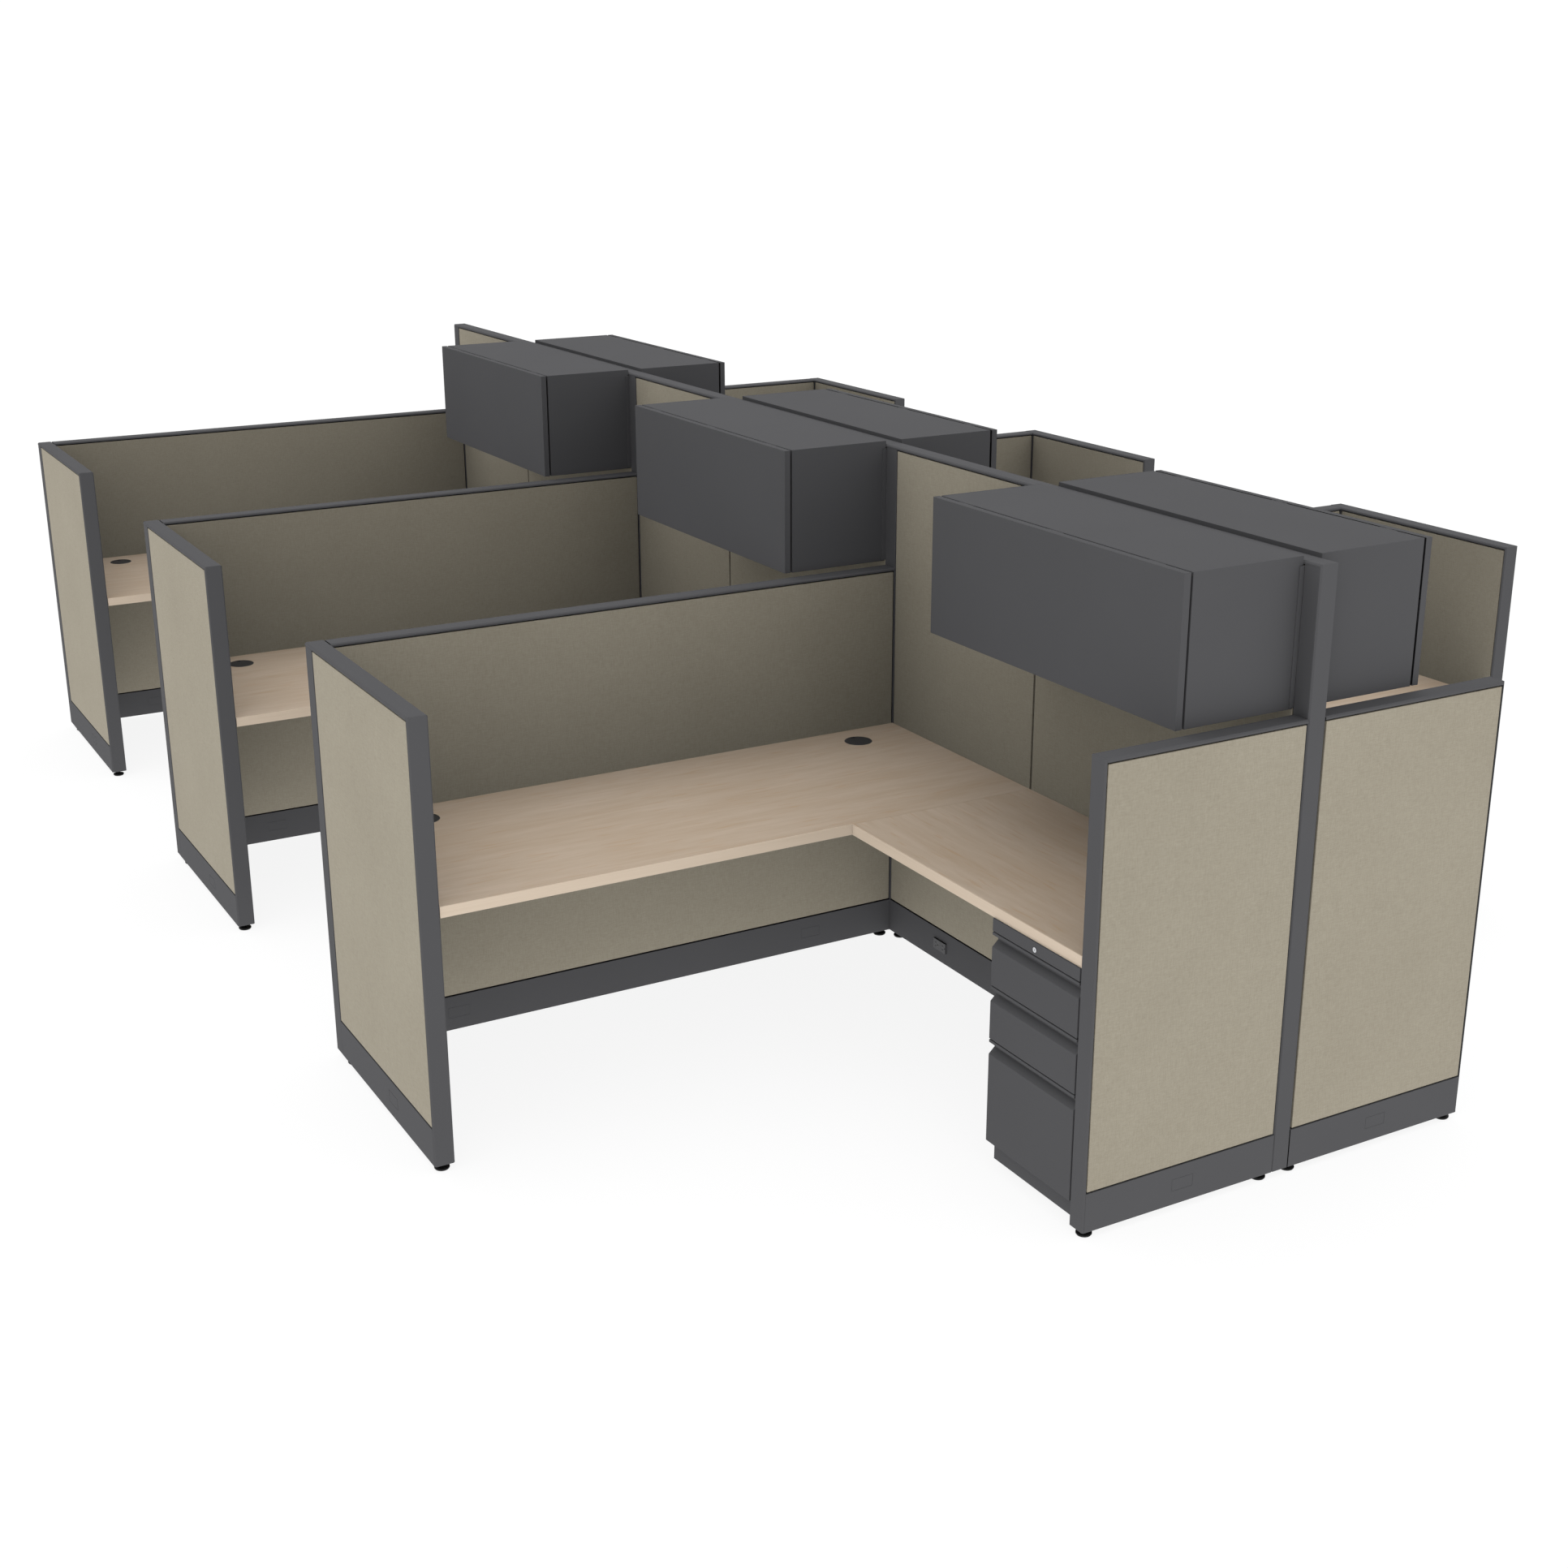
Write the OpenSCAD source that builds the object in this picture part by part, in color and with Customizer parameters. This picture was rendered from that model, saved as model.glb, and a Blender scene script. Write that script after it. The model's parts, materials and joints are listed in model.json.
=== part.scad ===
// Six-station cubicle cluster: two rows of three stations, mirrored about a tall spine.
// The spine runs along Y, the two rows lie on its -X (near) and +X (far) sides, and Z is up.

/* [Layout] */
// Clear width of one station, between the faces of its two cross panels
bay_w = 1829; // [1700:1:2100]
// Length of a wing panel, from the spine to its return panel
wing_l = 1851; // [1500:1:2400]
// Length of an end panel, from the spine to the outer face of its trim
end_l = 620.5; // [560:0.5:700]
// Height of the spine panels
spine_h = 1656; // [1500:1:1900]
// Height of the wing, return and end panels
wing_h = 1270; // [1000:1:1400]

/* [Panels] */
// Thickness of every panel
panel_t = 57; // [50:0.5:70]
// Height of the panels' underside above the floor
glide_h = 21; // [12:0.5:25]
// Height of a raceway cover
base_h = 110; // [90:1:140]
// Width of the dark reveal round each fabric tile
reveal = 4; // [3:0.5:6]
// Height of a top cap
cap_h = 9; // [8:0.5:14]
// Bevel on the edges of caps, trims and corner posts
edge_bevel = 4; // [2:0.5:4.5]
// Thickness of an end trim
trim_t = 5; // [5:0.5:8]
// Thickness of a fabric tile
tile_t = 10; // [6:0.5:12]
// Setback of the tiles' fabric behind the panel face
tile_set = 1; // [0.5:0.5:2]
// Bevel round the face of a fabric tile
tile_bevel = 2; // [1:0.5:3]
// Sheet thickness of frames, caps, posts and covers
panel_wall = 1.5; // [1:0.1:2]
// Width of a frame upright
upright_w = 26; // [20:1:36]
// Height of a frame rail
rail_h = 28; // [20:1:40]

/* [Raceway] */
// Width of a knock-out window
window_w = 70; // [60:1:90]
// Height of a knock-out window
window_h = 35; // [30:1:45]
// Height of a window's centre above the floor
window_z = 78; // [70:1:85]
// Distance of a window's centre from the panel's end
window_inset = 310; // [200:1:330]
// Panels at least this long have a window near both ends
two_window_l = 900; // [800:10:1000]
// Thickness of an outlet's flange behind the raceway cover
outlet_t = 2; // [1.5:0.1:3]
// Distance that an outlet's face stands out from the raceway cover
outlet_proud = 5.5; // [3:0.5:8]

/* [Worksurfaces] */
// Height of the worksurfaces' top
ws_h = 754; // [680:1:780]
// Thickness of the worksurfaces
ws_t = 31; // [25:0.5:38]
// Depth of the main worksurface, which runs along the wing
main_d = 762; // [700:1:820]
// Depth of the return worksurface, which runs along the spine
return_d = 616.5; // [560:0.5:640]
// Thickness of the edge band
band_t = 3; // [2:0.5:4]
// Gap between a worksurface and the panels round it
ws_gap = 1.5; // [1:0.1:3]
// Gap of the butt joint between the two worksurfaces
joint_gap = 0.5; // [0.2:0.1:1]
// Radius of a grommet's bore
grommet_r = 40; // [30:0.5:45]
// Distance of a grommet from the end of the main worksurface
grommet_end = 200; // [120:1:260]
// Distance of a grommet from the wing
grommet_in = 113; // [80:1:160]

/* [Overhead bins] */
// Height of a bin
bin_h = 385; // [340:1:430]
// Depth of a bin's case
bin_d = 341; // [300:1:360]
// Rise of a bin's top above the spine
bin_rise = 11; // [5:1:20]
// Thickness of a bin's folded panels
bin_panel_t = 12; // [10:0.5:18]
// Thickness of a bin door
door_t = 20; // [16:0.5:25]
// Gap between a bin's case and its door, which holds the hinges
door_gap = 7; // [6.5:0.1:9]
// Sheet thickness of the bins
bin_wall = 1.2; // [1:0.1:2]
// Radius of a hinge barrel
hinge_r = 2.8; // [2.4:0.1:3]
// Radius of a hinge pin
pin_r = 1.4; // [1:0.1:1.5]
// Length of one hinge knuckle
knuckle_l = 20; // [15:1:30]

/* [Pedestals] */
// Width of a pedestal
ped_w = 365; // [340:1:400]
// Depth of a pedestal's case
ped_d = 540; // [500:1:555]
// Height of the pedestal's underside above the floor
ped_lift = 22; // [14:0.5:26]
// Height of the toe kick
kick_h = 64; // [50:1:80]
// Setback of the toe kick behind the drawer fronts
kick_set = 29; // [25:0.5:40]
// Height of the top rail
top_rail_h = 35; // [32:0.5:40]
// Height of a box drawer's front
box_front_h = 149; // [140:1:152]
// Dark gap between two fronts
front_gap = 3; // [2:0.1:4]
// Thickness of the drawer fronts
front_t = 21; // [20:0.5:24]
// Sheet thickness of the pedestals and drawers
ped_wall = 1.5; // [1:0.1:2]
// Width of the space for a drawer slide
slide_gap = 12.5; // [12:0.1:14]
// Height of a box drawer's sides
box_side_h = 100; // [90:1:105]
// Height of a file drawer's sides
file_side_h = 240; // [220:1:245]

/* [Drawer pulls] */
// Height of the lip at the top of a drawer front
lip_h = 8; // [6:0.5:10]
// Depth of the pull's recess
pull_d = 18; // [14:0.5:19]
// Height of the recess behind the lip
pull_h = 17; // [15:0.5:22]
// Height of the bevel below the recess
bevel_h = 17; // [12:0.5:22]

/* [Locks] */
// Radius of the lock's plug
plug_r = 5; // [4:0.1:5.5]
// Radius of the lock barrel's rim
rim_r = 7; // [6.8:0.1:8]
// Throw of the cam pin about the plug's axis
cam_throw = 6; // [5:0.1:7]
// Radius of the cam pin
cam_pin_r = 1.5; // [1.2:0.1:2]
// Height of a lock hook and of its striker
hook_h = 6; // [4:0.5:6]

/* [Hidden] */
$fn = 48;

// Rows and stations
near = -1;
far = 1;
rows = [near, far];
stations = 3;
pitch = bay_w + panel_t;
cluster_l = stations * pitch + panel_t;

// Clearances
over = 1;
seat = 0.3;
run_fit = 0.05;
seam = 0.4;
facing_gap = 1;

// Panel places, all measured from the spine's centre plane and the near end
spine_face = panel_t / 2;
return_x = spine_face + wing_l + panel_t / 2;
return_l = main_d + trim_t;
wide_l = bay_w - main_d;
frame_t = panel_t - 2 * (tile_set + tile_t);
base_top = glide_h + base_h;

// Worksurface places
ws_under = ws_h - ws_t;
ws_back = spine_face + ws_gap;
return_edge = spine_face + return_d;
main_front = pitch - main_d;
main_end = spine_face + wing_l - ws_gap;

// Bin places
bin_y = panel_t + reveal;
bin_w = wide_l - 2 * reveal;
bin_top = spine_h + bin_rise;
bin_low = bin_top - bin_h;
bin_back_x = spine_face + seat;
bin_front_x = bin_back_x + bin_d;
door_x = bin_front_x + door_gap;
hinge_x = bin_front_x + door_gap / 2;
hinge_z = bin_top - hinge_r - seat;
hinge_share = [0.12, 0.5, 0.88];
hinge_l = 3 * knuckle_l;

// Pedestal places
ped_y = panel_t + ws_gap;
ped_face = spine_face + end_l + facing_gap;
ped_front = ped_face - front_t - facing_gap;
ped_back = ped_front - ped_d;
kick_top = ped_lift + kick_h;
rail_z = ws_under - top_rail_h;
file_front_h = rail_z - 3 * front_gap - 2 * box_front_h - kick_top;
front_hs = [box_front_h, box_front_h, file_front_h];
side_hs = [box_side_h, box_side_h, file_side_h];
box_w = ped_w - 2 * (ped_wall + slide_gap);
box_y = ped_y + ped_wall + slide_gap;
box_lift = 14;
box_stop = 20;
box_l = ped_d - box_stop + facing_gap;
slide_h = 35;
slide_lift = 40;
slide_front = 32;
slide_play = 0.5;
slide_l = ped_d - slide_front - box_stop;

// Lock places
lock_y = ped_y + ped_w / 2;
lock_share = 0.43;
lock_z = rail_z + top_rail_h * lock_share;
cam_t = 2;
cam_w = 9;
cam_angle = 45;
cam_lift = 2 * cam_throw * sin(cam_angle);
barrel_l = 24;
rim_t = 1.2;
bar_t = 2;
bar_w = 14;
bar_front = 8;
hook_reach = 6.7;
hook_drop = cam_lift - hook_h;
striker_w = 5;
striker_gap = 3;
hook_share = 0.8;

function station_y(i) = i * pitch - cluster_l / 2;
function front_top(k) = rail_z - front_gap - k * (box_front_h + front_gap);
function box_z(k) = front_top(k) - front_hs[k] + box_lift;
function striker_z(k) = box_z(k) + side_hs[k] * hook_share;

// Every panel as [x, y, angle, length, height]; each starts at its fixed end
spine_panels = [for (i = [0 : stations - 1], s = [0, 1])
    [0, station_y(i) + panel_t + s * wide_l, 90, s == 0 ? wide_l : main_d, spine_h]];
wing_panels = [for (side = rows, i = [1 : stations])
    [side * spine_face, station_y(i) + panel_t / 2, side < 0 ? 180 : 0, wing_l, wing_h]];
return_panels = [for (side = rows, i = [1 : stations])
    [side * return_x, station_y(i), -90, return_l - trim_t, wing_h]];
end_panels = [for (side = rows)
    [side * spine_face, station_y(0) + panel_t / 2, side < 0 ? 180 : 0, end_l - trim_t, wing_h]];
all_panels = concat(spine_panels, wing_panels, return_panels, end_panels);

// Every free end that carries a trim, as [x, y, angle, height]
free_ends = concat(
    [for (p = concat(return_panels, end_panels))
        [p[0] + p[3] * cos(p[2]), p[1] + p[3] * sin(p[2]), p[2], p[4]]],
    [[0, station_y(0) + trim_t, -90, spine_h],
     [0, station_y(stations) + panel_t - trim_t, 90, spine_h]]);

// Frame colours
charcoal = [0.30, 0.30, 0.32];
black = [0.10, 0.10, 0.11];
steel = [0.70, 0.71, 0.73];

module at_panels(list)
    for (p = list)
        let ($run = p[3], $high = p[4])
            translate([p[0], p[1], 0]) rotate([0, 0, p[2]]) children();

module both_faces() {
    children();
    mirror([0, 1, 0]) children();
}

module at_row(side) mirror([side < 0 ? 1 : 0, 0, 0]) children();

module at_station(side, i) translate([0, station_y(i - 1), 0]) at_row(side) children();

module all_stations()
    for (side = rows, i = [1 : stations]) at_station(side, i) children();

// A profile drawn in (y, z) and run along x
module run_x(l) rotate([90, 0, 90]) linear_extrude(l) children();

// A profile drawn in (x, z) and run along y
module run_y(l) translate([0, l, 0]) rotate([90, 0, 0]) linear_extrude(l) children();

// A folded tray: a skin with a flange on all four sides, open towards the side given
module tray(size, wall, open) {
    low = [for (a = [0 : 2]) open[a] < 0 ? -over : wall];
    high = [for (a = [0 : 2]) open[a] > 0 ? size[a] + over : size[a] - wall];
    difference() {
        cube(size);
        translate(low) cube(high - low);
    }
}

module channel_2d(w, h)
    difference() {
        translate([-w / 2, 0]) square([w, h]);
        translate([-w / 2 + panel_wall, -over]) square([w - 2 * panel_wall, h - panel_wall + over]);
    }

module upright(h)
    difference() {
        translate([0, -frame_t / 2, glide_h]) cube([upright_w, frame_t, h - glide_h]);
        translate([panel_wall, -frame_t / 2 + panel_wall, glide_h - over])
            cube([upright_w, frame_t - 2 * panel_wall, h - glide_h + 2 * over]);
    }

module panel_frames() color(black) at_panels(all_panels) {
    top = $high - panel_wall;
    translate([seam / 2, 0, 0]) upright(top);
    translate([$run - seam / 2, 0, 0]) mirror([1, 0, 0]) upright(top);
    translate([seam / 2, 0, glide_h + rail_h]) run_x($run - seam)
        mirror([0, 1, 0]) channel_2d(frame_t, rail_h);
    for (z = [base_top, ws_under - rail_h, top - rail_h])
        translate([seam / 2, 0, z]) run_x($run - seam) channel_2d(frame_t, rail_h);
}

// A board whose face edges are eased, where the fabric is pulled round them
module tile(l, h) intersection() {
    linear_extrude(h)
        polygon([[0, 0], [l, 0], [l, tile_t - tile_bevel], [l - tile_bevel, tile_t],
            [tile_bevel, tile_t], [0, tile_t - tile_bevel]]);
    run_x(l)
        polygon([[0, 0], [tile_t - tile_bevel, 0], [tile_t, tile_bevel], [tile_t, h - tile_bevel],
            [tile_t - tile_bevel, h], [0, h]]);
}

module fabric_tiles() color([0.64, 0.61, 0.54]) at_panels(all_panels) both_faces()
    translate([reveal, frame_t / 2, base_top + reveal])
        tile($run - 2 * reveal, $high - cap_h - base_top - 2 * reveal);

module cap_2d() {
    half = panel_t / 2;
    shift = panel_wall * (sqrt(2) - 1);
    inner = half - panel_wall;
    difference() {
        polygon([[-half, 0], [half, 0], [half, cap_h - edge_bevel], [half - edge_bevel, cap_h],
            [edge_bevel - half, cap_h], [-half, cap_h - edge_bevel]]);
        polygon([[-inner, -over], [inner, -over], [inner, cap_h - edge_bevel - shift],
            [half - edge_bevel - shift, cap_h - panel_wall],
            [edge_bevel + shift - half, cap_h - panel_wall],
            [-inner, cap_h - edge_bevel - shift]]);
    }
}

// The returns' caps run on over the corner posts, and each post of the spine has its own cap
module top_caps() color(charcoal) {
    at_panels(concat(spine_panels, wing_panels, end_panels))
        translate([seam / 2, 0, $high - cap_h]) run_x($run - seam) cap_2d();
    at_panels(return_panels)
        translate([seam / 2 - panel_t, 0, $high - cap_h]) run_x($run + panel_t - seam) cap_2d();
    for (i = [0 : stations])
        translate([0, post_start(i) + seam / 2, spine_h - cap_h]) rotate([0, 0, 90])
            run_x(post_length(i) - seam) cap_2d();
}

// The first and last post give up the trim's thickness at their free side
function post_start(i) = station_y(i) + (i == 0 ? trim_t : 0);
function post_length(i) = panel_t - (i == 0 || i == stations ? trim_t : 0);

module post_tube(l, h, bevel) {
    half = panel_t / 2;
    translate([0, 0, glide_h]) linear_extrude(h - glide_h) difference() {
        polygon([[-half, 0], [half, 0], [half, l - bevel], [half - bevel, l], [-half, l]]);
        translate([-half + panel_wall, panel_wall])
            square([panel_t - 2 * panel_wall - bevel, l - 2 * panel_wall]);
    }
}

module posts() color(charcoal) {
    for (i = [0 : stations])
        translate([0, post_start(i), 0]) post_tube(post_length(i), spine_h - cap_h, 0);
    for (side = rows, i = [1 : stations])
        translate([side * return_x, station_y(i), 0]) at_row(side)
            post_tube(panel_t, wing_h - cap_h, edge_bevel);
}

module end_trims() color(charcoal) for (e = free_ends)
    translate([e[0], e[1], 0]) rotate([0, 0, e[2]]) intersection() {
        half = panel_t / 2;
        translate([0, 0, glide_h]) linear_extrude(e[3] - glide_h)
            polygon([[0, -half], [trim_t - edge_bevel, -half], [trim_t, edge_bevel - half],
                [trim_t, half - edge_bevel], [trim_t - edge_bevel, half], [0, half]]);
        run_x(trim_t)
            polygon([[-half, 0], [half, 0], [half, e[3] - edge_bevel], [half - edge_bevel, e[3]],
                [edge_bevel - half, e[3]], [-half, e[3] - edge_bevel]]);
    }

// Window places along a panel: one at the inset, and a second one on a long panel
function windows(l) = l < two_window_l ? [window_inset] : [window_inset, l - window_inset];
groove_w = 1.6;
groove_d = 0.4;
cover_depth = (panel_t - frame_t) / 2;

module window_groove()
    translate([-window_w / 2, panel_t / 2 - groove_d, window_z - window_h / 2]) difference() {
        cube([window_w, groove_d + over, window_h]);
        translate([groove_w, -over, groove_w])
            cube([window_w - 2 * groove_w, groove_d + 3 * over, window_h - 2 * groove_w]);
    }

// The outlets' places, with the origin on the back of the raceway cover's wall
module at_outlets() all_stations()
    translate([spine_face - panel_wall, pitch - window_inset, window_z]) children();

module raceway_covers() color(charcoal) difference() {
    at_panels(all_panels) both_faces() difference() {
        translate([seat, 0, glide_h]) run_x($run - 2 * seat) difference() {
            translate([frame_t / 2, 0]) square([cover_depth, base_h]);
            translate([frame_t / 2 - over, panel_wall])
                square([cover_depth - panel_wall + over, base_h - 2 * panel_wall]);
        }
        for (x = windows($run)) translate([$run - x, 0, 0]) window_groove();
    }
    at_outlets() translate([-over, -window_w / 2, -window_h / 2])
        cube([panel_wall + 2 * over, window_w, window_h]);
}

outlet_lap = 3;
outlet_back = 1;
receptacle_step = 38.9;
slot_l = 7.5;
slot_w = 1.8;
slot_step = 12.7;
slot_d = 10;
earth_r = 2.4;
earth_step = 11.9;

// A duplex receptacle in each station: it stands out through the window, beside the wing, and
// its flange laps the window from behind
module outlet_plates() color(charcoal) at_outlets() difference() {
    face_x = panel_wall + outlet_proud;
    union() {
        translate([-outlet_t, -window_w / 2 - outlet_lap, -window_h / 2 - outlet_lap])
            cube([outlet_t, window_w + 2 * outlet_lap, window_h + 2 * outlet_lap]);
        translate([panel_wall + outlet_back - spine_face, seat - window_w / 2, seat - window_h / 2])
            cube([spine_face - outlet_back + outlet_proud, window_w - 2 * seat, window_h - 2 * seat]);
    }
    for (s = [-1, 1]) translate([face_x - slot_d, s * receptacle_step / 2, 0]) {
        for (t = [-1, 1]) translate([0, -slot_l / 2, t * slot_step / 2 - slot_w / 2])
            cube([slot_d + over, slot_l, slot_w]);
        translate([0, -earth_step, 0]) rotate([0, 90, 0]) cylinder(r = earth_r, h = slot_d + over);
    }
}

pad_r = 21;
pad_h = 9;
pad_shares = [0.9, 0.6];
stem_r = 5;
nut_r = 11;
nut_h = 4;
glide_inset = 22;
ped_pad_r = 15;
ped_glide_inset = 45;

// A dished pad with a stem, seated under what it carries
module glide(r, h) {
    edge_h = pad_h / 3;
    rotate_extrude()
        polygon([[0, 0], [r * pad_shares[0], 0], [r, edge_h], [r, edge_h * 2],
            [r * pad_shares[1], pad_h],
            [stem_r, pad_h], [stem_r, h], [0, h]]);
    translate([0, 0, h - nut_h]) cylinder(r = nut_r, h = nut_h, $fn = 6);
}

module levelling_glides() color(black) {
    at_panels(all_panels) for (x = [glide_inset, $run - glide_inset])
        translate([x, 0, 0]) glide(pad_r, glide_h);
    all_stations() for (x = [ped_back + ped_glide_inset, ped_front - ped_glide_inset],
            y = [ped_y + ped_glide_inset, ped_y + ped_w - ped_glide_inset])
        translate([x, y, 0]) glide(ped_pad_r, ped_lift);
}

grommet_xs = [spine_face + grommet_end, spine_face + wing_l - grommet_end];
grommet_y = pitch - grommet_in;

module main_worksurfaces() color([0.72, 0.62, 0.52]) all_stations()
    translate([0, 0, ws_under]) difference() {
        linear_extrude(ws_t)
            polygon([[ws_back, main_front], [return_edge, main_front],
                [return_edge, main_front + band_t], [main_end, main_front + band_t],
                [main_end, pitch - ws_gap], [ws_back, pitch - ws_gap]]);
        for (x = grommet_xs) translate([x, grommet_y, -over])
            cylinder(r = grommet_r, h = ws_t + 2 * over);
    }

module return_worksurfaces() color([0.70, 0.60, 0.50]) all_stations()
    translate([ws_back, panel_t + ws_gap, ws_under])
        cube([return_edge - band_t - ws_back, main_front - joint_gap - panel_t - ws_gap, ws_t]);

module edge_bands() color([0.82, 0.74, 0.64]) all_stations() translate([0, 0, ws_under]) {
    translate([return_edge, main_front, 0]) cube([main_end - return_edge, band_t, ws_t]);
    translate([return_edge - band_t, panel_t + ws_gap, 0])
        cube([band_t, main_front - joint_gap - panel_t - ws_gap, ws_t]);
}

rim_w = 4;
rim_h = 1.5;
liner_w = 2.5;
ledge_w = 3;
ledge_h = 2;
lid_h = 2.5;
cable_w = 14;
cable_d = 9;

// A liner with a rim on the worksurface and an inner ledge, and the lid that lies on the ledge
module grommets() color(black) all_stations()
    for (x = grommet_xs) translate([x, grommet_y, 0]) {
        out_r = grommet_r - run_fit;
        in_r = out_r - liner_w;
        ledge_z = ws_h + rim_h - lid_h;
        rotate_extrude(convexity = 4)
            polygon([[in_r, ws_under], [out_r, ws_under], [out_r, ws_h],
                [grommet_r + rim_w, ws_h], [grommet_r + rim_w - rim_h, ws_h + rim_h],
                [in_r, ws_h + rim_h], [in_r, ledge_z], [in_r - ledge_w, ledge_z],
                [in_r - ledge_w, ledge_z - ledge_h], [in_r, ledge_z - ledge_h]]);
        translate([0, 0, ledge_z + run_fit]) difference() {
            cylinder(r = in_r - seat, h = lid_h);
            translate([-cable_w / 2, in_r - seat - cable_d, -over])
                cube([cable_w, cable_d + over, lid_h + 2 * over]);
        }
    }

bracket_t = 3;
bracket_flange = 32;
bracket_share = 0.78;
root_h = 170;
tip_h = 32;
waist_h = 51;
waist_share = 0.55;
relief_r = 34;
relief_at = [68, 58];
hang_w = 24;
hang_inset = 4;

// A tapered arm that hangs on an upright through the reveal and carries a worksurface
module arm(l) {
    into = spine_face - frame_t / 2;
    translate([-into, -bracket_t / 2, ws_under]) {
        run_y(bracket_t) difference() {
            polygon([[0, 0], [into + l, 0], [into + l, -tip_h], [into + l * waist_share, -waist_h],
                [into + tip_h, -root_h], [0, -root_h]]);
            translate([into + relief_at[0], -relief_at[1]]) circle(r = relief_r);
        }
    }
}

module arm_flange(l, y0, w)
    translate([0, y0, ws_under - bracket_t]) cube([l, w, bracket_t]);

module brackets() color(charcoal) all_stations() {
    reach = main_d * bracket_share;
    slot = reveal / 2;
    translate([spine_face + slot, pitch, 0]) rotate([0, 0, -90]) {
        arm(reach);
        arm_flange(reach, 0, bracket_flange);
    }
    translate([spine_face + wing_l - slot, pitch, 0]) rotate([0, 0, -90]) {
        arm(reach);
        arm_flange(reach, -bracket_flange, bracket_flange);
    }
    translate([spine_face, panel_t + wide_l, 0]) {
        arm(return_d * bracket_share);
        arm_flange(return_d * bracket_share, -bracket_flange, 2 * bracket_flange);
    }
    for (y = [bin_y - seat - bracket_t, bin_y + bin_w + seat])
        translate([frame_t / 2, y, bin_low + hang_inset])
            cube([hang_w, bracket_t, spine_h - cap_h - bin_low - 2 * hang_inset]);
}

module bin_tops() color(charcoal) all_stations()
    translate([bin_back_x, bin_y + bin_wall, bin_top - bin_panel_t])
        tray([bin_d, bin_w - 2 * bin_wall, bin_panel_t], bin_wall, [0, 0, -1]);

module bin_shelves() color(charcoal) all_stations()
    translate([bin_back_x, bin_y + bin_panel_t, bin_low])
        tray([bin_d, bin_w - 2 * bin_panel_t, bin_panel_t], bin_wall, [0, 0, -1]);

module bin_backs() color(charcoal) all_stations()
    translate([bin_back_x, bin_y + bin_panel_t, bin_low + bin_panel_t])
        cube([bin_wall, bin_w - 2 * bin_panel_t, bin_h - 2 * bin_panel_t]);

// The skin of each end runs up to the bin's top and covers the side of the top panel
module bin_ends() color(charcoal) all_stations()
    for (flip = [0, 1]) translate([bin_back_x, bin_y + bin_w / 2, bin_low]) mirror([0, flip, 0])
        translate([0, -bin_w / 2, 0]) {
            tray([bin_d, bin_panel_t, bin_h - bin_panel_t], bin_wall, [0, 1, 0]);
            cube([bin_d, bin_wall, bin_h]);
        }

module at_hinges()
    for (s = hinge_share) translate([hinge_x, bin_y + s * bin_w - hinge_l / 2, hinge_z]) children();

module rod(r, l) rotate([-90, 0, 0]) cylinder(r = r, h = l);

// The case's leaf: a strip on the case's front edge, two knuckles and the pin through them
module bin_hinges() color(charcoal) all_stations() at_hinges() {
    leaf_x = -door_gap / 2;
    translate([leaf_x, 0, -bin_panel_t + hinge_r + seat])
        cube([bin_wall, hinge_l, bin_panel_t - 2 * hinge_r - 2 * seat]);
    for (y = [0, 2 * knuckle_l]) translate([0, y, 0]) {
        rod(hinge_r, knuckle_l);
        translate([leaf_x, 0, -2 * hinge_r]) cube([-leaf_x, knuckle_l, 2 * hinge_r]);
    }
    rod(pin_r, hinge_l);
}

hat_w = 60;
hat_h = 12;

// A folded door with a stiffening rib and one knuckle of each hinge
module bin_door() color(charcoal) {
    difference() {
        union() {
            translate([door_x, bin_y, bin_low]) tray([door_t, bin_w, bin_h], bin_wall, [-1, 0, 0]);
            at_hinges() translate([0, knuckle_l + seat, 0]) {
                rod(hinge_r, knuckle_l - 2 * seat);
                cube([door_gap / 2 + bin_wall, knuckle_l - 2 * seat, hinge_r]);
                translate([door_gap / 2, 0, -bin_panel_t])
                    cube([bin_wall, knuckle_l - 2 * seat, bin_panel_t + hinge_r]);
            }
        }
        at_hinges() translate([0, knuckle_l, 0]) rod(pin_r + run_fit, knuckle_l);
    }
    translate([door_x + door_t - bin_wall - hat_h, bin_y + bin_wall, bin_low + (bin_h - hat_w) / 2])
        tray([hat_h, bin_w - 2 * bin_wall, hat_w], bin_wall, [1, 0, 0]);
}

// A side plate with the toe kick's notch at its front foot
module pedestal_sides() color(charcoal) all_stations()
    for (y = [ped_y, ped_y + ped_w - ped_wall]) translate([0, y, 0]) run_y(ped_wall)
        polygon([[ped_back, ped_lift], [ped_face - kick_set, ped_lift],
            [ped_face - kick_set, kick_top], [ped_front, kick_top],
            [ped_front, ws_under], [ped_back, ws_under]]);

ped_in_y = ped_y + ped_wall;
ped_in_w = ped_w - 2 * ped_wall;

module pedestal_backs() color(charcoal) all_stations()
    translate([ped_back, ped_in_y, ped_lift]) cube([ped_wall, ped_in_w, ws_under - ped_lift]);

module pedestal_bases() color(charcoal) all_stations() {
    start = ped_back + ped_wall;
    depth = ped_face - kick_set - start;
    translate([start, ped_in_y, ped_lift]) {
        cube([depth, ped_in_w, ped_wall]);
        translate([depth - ped_wall, 0, 0]) cube([ped_wall, ped_in_w, kick_h]);
    }
}

module pedestal_tops() color(charcoal) all_stations() difference() {
    union() {
        translate([ped_front, ped_y, rail_z])
            tray([ped_face - ped_front, ped_w, top_rail_h], ped_wall, [-1, 0, 0]);
        translate([ped_back + ped_wall, ped_in_y, ws_under - ped_wall])
            cube([ped_front - ped_back, ped_in_w, ped_wall]);
    }
    translate([ped_face - front_t, lock_y, lock_z]) rotate([0, 90, 0])
        cylinder(r = plug_r + panel_wall + run_fit, h = front_t + over);
}

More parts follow.
